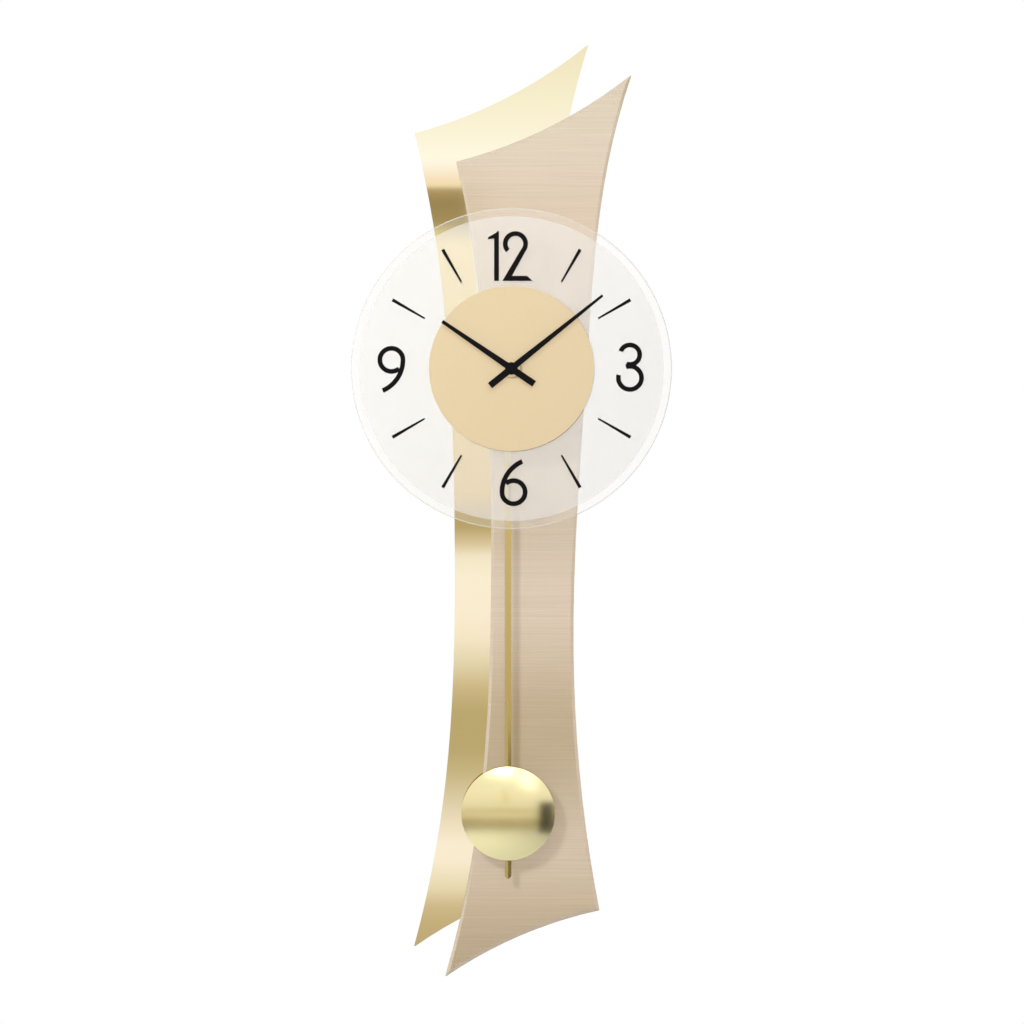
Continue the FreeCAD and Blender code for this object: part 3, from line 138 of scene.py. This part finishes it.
def oblong(width, height):
    return [(-width / 2, -height / 2), (width / 2, -height / 2),
            (width / 2, height / 2), (-width / 2, height / 2)]


def flat_panel(name, corners, z=0):
    """One level face with these four corners."""
    mesh = bpy.data.meshes.new(name)
    mesh.from_pydata([(x, y, z) for x, y in corners], [], [(0, 1, 2, 3)])
    panel = bpy.data.objects.new(name, mesh)
    bpy.context.scene.collection.objects.link(panel)
    return panel


def look_at(thing, target):
    thing.rotation_euler = (Vector(target) - thing.location).to_track_quat("-Z", "Y").to_euler()


class Shader:
    """One node material, with the few node kinds that this scene uses."""

    def __init__(self, name, base, metallic=0.0, roughness=0.5, **sockets):
        self.material = bpy.data.materials.new(name)
        self.material.use_nodes = True
        self.tree = self.material.node_tree
        self.surface = self.tree.nodes["Principled BSDF"]
        self.surface.inputs["Base Color"].default_value = base
        self.surface.inputs["Metallic"].default_value = metallic
        self.surface.inputs["Roughness"].default_value = roughness
        for socket, value in sockets.items():
            self.surface.inputs[socket.replace("_", " ")].default_value = value
        self.coordinates = self.add("ShaderNodeTexCoord").outputs["Object"]

    def add(self, kind, **settings):
        node = self.tree.nodes.new(kind)
        for key, value in settings.items():
            setattr(node, key, value)
        return node

    def link(self, source, target):
        self.tree.links.new(source, target)

    def stretched(self, scale):
        mapping = self.add("ShaderNodeMapping")
        mapping.inputs["Scale"].default_value = scale
        self.link(self.coordinates, mapping.inputs["Vector"])
        return mapping.outputs["Vector"]

    def noise(self, scale, detail=3.0, roughness=0.5):
        """Noise whose scale is given along x, y and z, in features per metre."""
        node = self.add("ShaderNodeTexNoise")
        node.inputs["Scale"].default_value = 1.0
        node.inputs["Detail"].default_value = detail
        node.inputs["Roughness"].default_value = roughness
        self.link(self.stretched(scale), node.inputs["Vector"])
        return node.outputs["Fac"]

    def tint(self, factor, dark, light, low=0.3, high=0.7):
        """Vary the base colour between two shades."""
        ramp = self.add("ShaderNodeValToRGB")
        ramp.color_ramp.elements[0].position = low
        ramp.color_ramp.elements[0].color = dark
        ramp.color_ramp.elements[1].position = high
        ramp.color_ramp.elements[1].color = light
        self.link(factor, ramp.inputs["Fac"])
        self.link(ramp.outputs["Color"], self.surface.inputs["Base Color"])

    def vary(self, factor, socket, low, high):
        """Vary one of the surface's numbers between two values."""
        spread = self.add("ShaderNodeMapRange")
        spread.inputs["To Min"].default_value = low
        spread.inputs["To Max"].default_value = high
        self.link(factor, spread.inputs["Value"])
        self.link(spread.outputs["Result"], self.surface.inputs[socket])

    def bump(self, factor, depth, strength):
        """Raise and lower the surface by up to a depth in metres."""
        node = self.add("ShaderNodeBump")
        node.inputs["Distance"].default_value = depth
        node.inputs["Strength"].default_value = strength
        self.link(factor, node.inputs["Height"])
        self.link(node.outputs["Normal"], self.surface.inputs["Normal"])


# ---------------------------------------------------------------- materials

def mirror_gold():
    shader = Shader("mirror_gold", (0.95, 0.87, 0.64, 1.0), metallic=1.0, roughness=0.02)
    shader.vary(shader.noise((9, 9, 9), detail=2.0), "Roughness", low=0.015, high=0.035)
    shader.bump(shader.noise((5, 5, 3), detail=1.0), depth=0.00002, strength=0.1)
    return shader.material


def brushed_champagne():
    tone = linear(219, 204, 183)
    shader = Shader("brushed_champagne", tone, metallic=0.66, roughness=0.10)
    grain = shader.noise((14, 14, 2600), detail=4.0, roughness=0.62)
    shader.tint(grain, shade(tone, 0.9), shade(tone, 1.08))
    shader.vary(shader.noise((30, 30, 900), detail=2.0), "Roughness", low=0.08, high=0.12)
    shader.bump(grain, depth=0.00003, strength=0.15)
    return shader.material


def board_paint():
    tone = linear(66, 66, 52)
    shader = Shader("board_paint", tone, roughness=0.55)
    speckle = shader.noise((900, 900, 900), detail=3.0)
    shader.tint(speckle, shade(tone, 0.8), shade(tone, 1.2))
    shader.bump(speckle, depth=0.00008, strength=0.4)
    return shader.material


def satin_gold():
    tone = linear(215, 196, 160)
    shader = Shader("satin_gold", tone, metallic=0.4, roughness=0.38)
    pearl = shader.noise((1500, 1500, 1500), detail=2.0)
    shader.tint(pearl, shade(tone, 0.96), shade(tone, 1.04))
    shader.vary(shader.noise((25, 25, 25)), "Roughness", low=0.34, high=0.42)
    return shader.material


def polished_brass(name, tone, roughness):
    shader = Shader(name, tone, metallic=1.0, roughness=roughness)
    shader.vary(shader.noise((40, 40, 40)), "Roughness", low=roughness * 0.8, high=roughness * 1.2)
    return shader.material


def turned_brass():
    shader = Shader("turned_brass", linear(222, 196, 130), metallic=1.0, roughness=0.25)
    shader.vary(shader.noise((800, 800, 800)), "Roughness", low=0.2, high=0.32)
    return shader.material


def beech_wood():
    tone = linear(206, 168, 122)
    shader = Shader("beech_wood", tone, roughness=0.5)
    grain = shader.noise((40, 40, 1400), detail=5.0, roughness=0.6)
    shader.tint(grain, shade(tone, 0.75), shade(tone, 1.1))
    shader.bump(grain, depth=0.0001, strength=0.4)
    return shader.material


def plain_metal(name, tone, roughness, grain=(400, 400, 400)):
    shader = Shader(name, tone, metallic=1.0, roughness=roughness)
    pattern = shader.noise(grain, detail=3.0)
    shader.tint(pattern, shade(tone, 0.85), shade(tone, 1.1))
    shader.vary(pattern, "Roughness", low=roughness * 0.8, high=roughness * 1.3)
    return shader.material


def moulded(name, tone, roughness, texture=1800, **sockets):
    shader = Shader(name, tone, roughness=roughness, **sockets)
    pattern = shader.noise((texture, texture, texture), detail=2.0)
    shader.tint(pattern, shade(tone, 0.9), shade(tone, 1.1))
    shader.bump(pattern, depth=0.00004, strength=0.35)
    return shader.material


def matt_black(name, tone, roughness, texture=1800):
    return moulded(name, tone, roughness, texture, Specular_IOR_Level=0.08)


def clear_glass():
    """Thin clear glass: what is behind shows through a faint veil, under a gloss."""
    shader = Shader("clear_glass", linear(230, 226, 216), roughness=0.4)
    through = shader.add("ShaderNodeBsdfTransparent")
    through.inputs["Color"].default_value = (1, 1, 1, 1)
    gloss = shader.add("ShaderNodeBsdfGlossy")
    gloss.inputs["Roughness"].default_value = 0.03
    offset = shader.add("ShaderNodeVectorMath", operation="SUBTRACT")
    offset.inputs[1].default_value = (DIAL_X, 0, DIAL_Z)
    flat = shader.add("ShaderNodeVectorMath", operation="MULTIPLY")
    flat.inputs[1].default_value = (1, 0, 1)
    reach = shader.add("ShaderNodeVectorMath", operation="LENGTH")
    veil = shader.add("ShaderNodeMapRange")
    veil.inputs["From Min"].default_value = DIAL_RADIUS - RIM_START
    veil.inputs["From Max"].default_value = DIAL_RADIUS - RIM_FULL
    veil.inputs["To Min"].default_value = GLASS_VEIL
    veil.inputs["To Max"].default_value = RIM_VEIL
    veiled = shader.add("ShaderNodeMixShader")
    glossed = shader.add("ShaderNodeMixShader")
    glossed.inputs["Fac"].default_value = GLASS_GLOSS
    output = shader.tree.nodes["Material Output"]
    shader.link(shader.coordinates, offset.inputs[0])
    shader.link(offset.outputs["Vector"], flat.inputs[0])
    shader.link(flat.outputs["Vector"], reach.inputs[0])
    shader.link(reach.outputs["Value"], veil.inputs["Value"])
    shader.link(veil.outputs["Result"], veiled.inputs["Fac"])
    shader.link(through.outputs["BSDF"], veiled.inputs[1])
    shader.link(shader.surface.outputs["BSDF"], veiled.inputs[2])
    shader.link(veiled.outputs["Shader"], glossed.inputs[1])
    shader.link(gloss.outputs["BSDF"], glossed.inputs[2])
    shader.link(glossed.outputs["Shader"], output.inputs["Surface"])
    return shader.material


def frosted_print():
    """White ink that lets what is behind it through."""
    shader = Shader("frosted_print", linear(219, 216, 212), roughness=0.5, Alpha=PRINT_COVER)
    shader.tint(shader.noise((1200, 1200, 1200), detail=2.0),
                linear(217, 214, 209), linear(221, 218, 214))
    return shader.material


# ---------------------------------------------------------------- the clock's pieces

def dress(nodes, material):
    for name in nodes:
        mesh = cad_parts[name].data
        mesh.materials.clear()
        mesh.materials.append(material)


def dress_front():
    dress(["rear_panel_mirror_sheet"], mirror_gold())
    dress(["front_panel_brushed_sheet"], brushed_champagne())
    dress(["rear_panel_upper_board", "rear_panel_lower_board", "front_panel_board"], board_paint())
    dress(["inner_disc", "nut_washer", "dial_nut"], satin_gold())
    dress(["bob_shell"], polished_brass("bob_brass", (0.91, 0.83, 0.48, 1.0), 0.19))
    dress(["pendulum_rod"], polished_brass("rod_brass", linear(211, 191, 128), 0.2))
    dress(["dial_glass"], clear_glass())
    dress(["dial_print"], frosted_print())
    dress(["dial_numerals", "hour_ticks"], matt_black("black_print", linear(14, 12, 12), 0.6))
    dress(["hour_hand", "minute_hand", "hand_cap"],
          matt_black("hand_paint", linear(12, 12, 13), 0.55, texture=900))


def dress_metal():
    dress(["bob_back_plate", "threaded_bushing", "cannon_pinion", "centre_wheel"], turned_brass())
    dress(["panel_screws", "movement_screws", "hanger_screws", "bob_clip", "pendulum_pivot_pin"],
          plain_metal("zinc_plate", linear(190, 194, 200), 0.3))
    dress(["hanger_plate"],
          plain_metal("stamped_steel", linear(176, 178, 182), 0.35, grain=(1500, 40, 40)))
    dress(["motor_stator", "motor_coil_core"], plain_metal("soft_iron", linear(150, 149, 147), 0.4))
    dress(["rotor_magnet", "hanger_magnet"], plain_metal("magnet", linear(110, 110, 112), 0.45))
    dress(["quartz_crystal", "battery_contact_negative", "battery_contact_positive"],
          plain_metal("nickel", linear(214, 212, 206), 0.18))
    dress(["motor_coil_winding", "pendulum_drive_coil"],
          plain_metal("copper_wire", linear(205, 124, 78), 0.3, grain=(3000, 3000, 3000)))


def dress_plastic_and_wood():
    dress(["movement_rear_case", "movement_front_case", "panel_spacers"],
          moulded("case_plastic", linear(40, 40, 42), 0.5))
    dress(["pendulum_hanger"], moulded("hanger_plastic", linear(48, 48, 50), 0.5))
    dress(["train_plate"], moulded("plate_plastic", linear(78, 78, 82), 0.5))
    dress(["setting_knob", "setting_shaft"], moulded("knob_plastic", linear(208, 206, 200), 0.45))
    dress(["third_wheel", "fourth_wheel", "fifth_wheel", "rotor_pinion", "hour_wheel",
           "minute_wheel"], moulded("acetal", linear(232, 228, 214), 0.4))
    dress(["circuit_board"], moulded("solder_mask", linear(30, 92, 52), 0.3, texture=700))
    dress(["control_chip"], moulded("potting", linear(20, 20, 22), 0.2, texture=500))
    dress(["battery"], moulded("cell_jacket", linear(92, 98, 108), 0.25, texture=400))
    dress(["hanger_block"], beech_wood())
    dress(["wall_pads", "rubber_washer"], moulded("rubber", linear(34, 34, 34), 0.8))


def thin_the_dial():
    for name in UNSEEN_IN_METAL:
        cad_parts[name].visible_glossy = False
    for name in WITHOUT_SHADOW:
        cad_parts[name].visible_shadow = False


# ---------------------------------------------------------------- light, floor and camera

def studio_card(name, place, target, corners):
    """A flat card that shows in the clock's metal, but not to the camera."""
    card = flat_panel(name, corners)
    card.location = place
    card.visible_camera = False
    look_at(card, target)
    material = bpy.data.materials.new(name)
    material.use_nodes = True
    tree = material.node_tree
    tree.nodes.remove(tree.nodes["Principled BSDF"])
    emission = tree.nodes.new("ShaderNodeEmission")
    tree.links.new(emission.outputs["Emission"], tree.nodes["Material Output"].inputs["Surface"])
    card.data.materials.append(material)
    return card, emission


def set_ramp(ramp, stops):
    elements = ramp.color_ramp.elements
    while len(elements) > 1:
        elements.remove(elements[-1])
    for index, (position, colour) in enumerate(stops):
        element = elements[0] if index == 0 else elements.new(position)
        element.position = position
        element.color = (*colour, 1.0)


def perspective(distance):
    """How much further out a thing that far in front of the clock is than where it shows."""
    return 1 + distance / CAMERA_DISTANCE


def shown_at(distance, height):
    """The height at which a thing that far in front shows in the mirror at a height."""
    return VIEW_Z + (height - VIEW_Z) * perspective(distance)


def graded_card(name, bands, distance, bottom, left, right_edge):
    """A card whose bands show in the mirror sheet. It lights nothing that is matt.

    It reaches from the first band down to its bottom, and from its left to its right edge,
    whose place is given at its top and at its foot.
    """
    top = shown_at(distance, bands[0][0])
    middle = (top + bottom) / 2
    half = (top - bottom) / 2
    corners = [(left, -half), (right_edge[1], -half), (right_edge[0], half), (left, half)]
    card, emission = studio_card(name, (0, -distance, middle), (0, 0, middle), corners)
    card.visible_diffuse = False
    tree = emission.id_data
    geometry = tree.nodes.new("ShaderNodeNewGeometry")
    split = tree.nodes.new("ShaderNodeSeparateXYZ")
    height = tree.nodes.new("ShaderNodeMapRange")
    ramp = tree.nodes.new("ShaderNodeValToRGB")
    height.inputs["From Min"].default_value = bottom
    height.inputs["From Max"].default_value = top
    tree.links.new(geometry.outputs["Position"], split.inputs["Vector"])
    tree.links.new(split.outputs["Z"], height.inputs["Value"])
    tree.links.new(height.outputs["Result"], ramp.inputs["Fac"])
    tree.links.new(ramp.outputs["Color"], emission.inputs["Color"])
    stops = []
    for z, colour in reversed(bands):
        position = (shown_at(distance, z) - bottom) / (top - bottom)
        stops.append((min(1.0, max(0.0, position)), colour))
    set_ramp(ramp, stops)


def lamp_head(name, place, size, strength, fade):
    """A lamp head, which lights the clock and fades towards its rim."""
    emission = studio_card(name, place, LAMP_TARGET, oblong(*size))[1]
    tree = emission.id_data
    coordinates = tree.nodes.new("ShaderNodeTexCoord")
    mapping = tree.nodes.new("ShaderNodeMapping")
    mapping.inputs["Scale"].default_value = (2 / size[0], 2 / size[1], 1)
    gradient = tree.nodes.new("ShaderNodeTexGradient")
    gradient.gradient_type = "SPHERICAL"
    level = tree.nodes.new("ShaderNodeMapRange")
    level.inputs["From Max"].default_value = fade
    level.inputs["To Min"].default_value = LAMP_RIM
    level.inputs["To Max"].default_value = strength
    tree.links.new(coordinates.outputs["Object"], mapping.inputs["Vector"])
    tree.links.new(mapping.outputs["Vector"], gradient.inputs["Vector"])
    tree.links.new(gradient.outputs["Fac"], level.inputs["Value"])
    tree.links.new(level.outputs["Result"], emission.inputs["Strength"])


def dark_flag():
    """A small black flag, which shows as a dark patch at the right of the bob."""
    emission = studio_card("dark_flag", FLAG_PLACE, FLAG_TARGET,
                           oblong(FLAG_WIDTH, FLAG_HEIGHT))[1]
    emission.inputs["Color"].default_value = FLAG_TONE


def key_lamp():
    """A lamp from the upper left, which doesn't show in the metal."""
    data = bpy.data.lights.new("key", "AREA")
    data.shape = "RECTANGLE"
    data.size = KEY_SIZE
    data.size_y = KEY_SIZE
    data.energy = KEY_RADIANCE * math.pi * KEY_SIZE ** 2
    key = bpy.data.objects.new("key", data)
    key.location = KEY_PLACE
    key.visible_glossy = False
    bpy.context.scene.collection.objects.link(key)
    look_at(key, KEY_TARGET)


def white_room():
    """A white world, which lights matt surfaces less than it shows."""
    world = bpy.data.worlds.new("white_room")
    bpy.context.scene.world = world
    world.use_nodes = True
    tree = world.node_tree
    background = tree.nodes["Background"]
    background.inputs["Color"].default_value = (1, 1, 1, 1)
    path = tree.nodes.new("ShaderNodeLightPath")
    level = tree.nodes.new("ShaderNodeMapRange")
    level.inputs["To Min"].default_value = ROOM_SEEN
    level.inputs["To Max"].default_value = ROOM_LIGHT
    tree.links.new(path.outputs["Is Diffuse Ray"], level.inputs["Value"])
    tree.links.new(level.outputs["Result"], background.inputs["Strength"])


def build_light():
    white_room()
    graded_card("graded_card", CARD_BANDS, CARD_DISTANCE, FLOOR_Z,
                -CARD_WIDTH / 2, (CARD_WIDTH / 2, CARD_WIDTH / 2))
    graded_card("left_card", LEFT_BANDS, LEFT_CARD_DISTANCE,
                shown_at(LEFT_CARD_DISTANCE, LEFT_BANDS[-1][0]), LEFT_CARD_START,
                [edge * perspective(LEFT_CARD_DISTANCE) for edge in LEFT_CARD_EDGE])
    for lamp in LAMP_HEADS:
        lamp_head(*lamp)
    dark_flag()
    key_lamp()


def build_floor():
    floor = flat_panel("floor", oblong(FLOOR_SIZE, FLOOR_SIZE), FLOOR_Z)
    floor.data.materials.append(moulded("floor_paper", linear(242, 242, 240), 0.8, texture=300))


def build_camera():
    data = bpy.data.cameras.new("camera")
    data.sensor_width = SENSOR
    data.lens = SENSOR * CAMERA_DISTANCE / VIEW_WIDTH
    data.clip_end = 4 * CAMERA_DISTANCE
    camera = bpy.data.objects.new("camera", data)
    camera.location = (VIEW_X, GLASS_LOW.y - CAMERA_DISTANCE, VIEW_Z)
    camera.rotation_euler = (math.radians(90), 0, 0)
    bpy.context.scene.collection.objects.link(camera)
    bpy.context.scene.camera = camera


# ---------------------------------------------------------------- the scene

bpy.context.scene.view_settings.view_transform = "Standard"
dress_front()
dress_metal()
dress_plastic_and_wood()
thin_the_dial()
build_light()
build_floor()
build_camera()
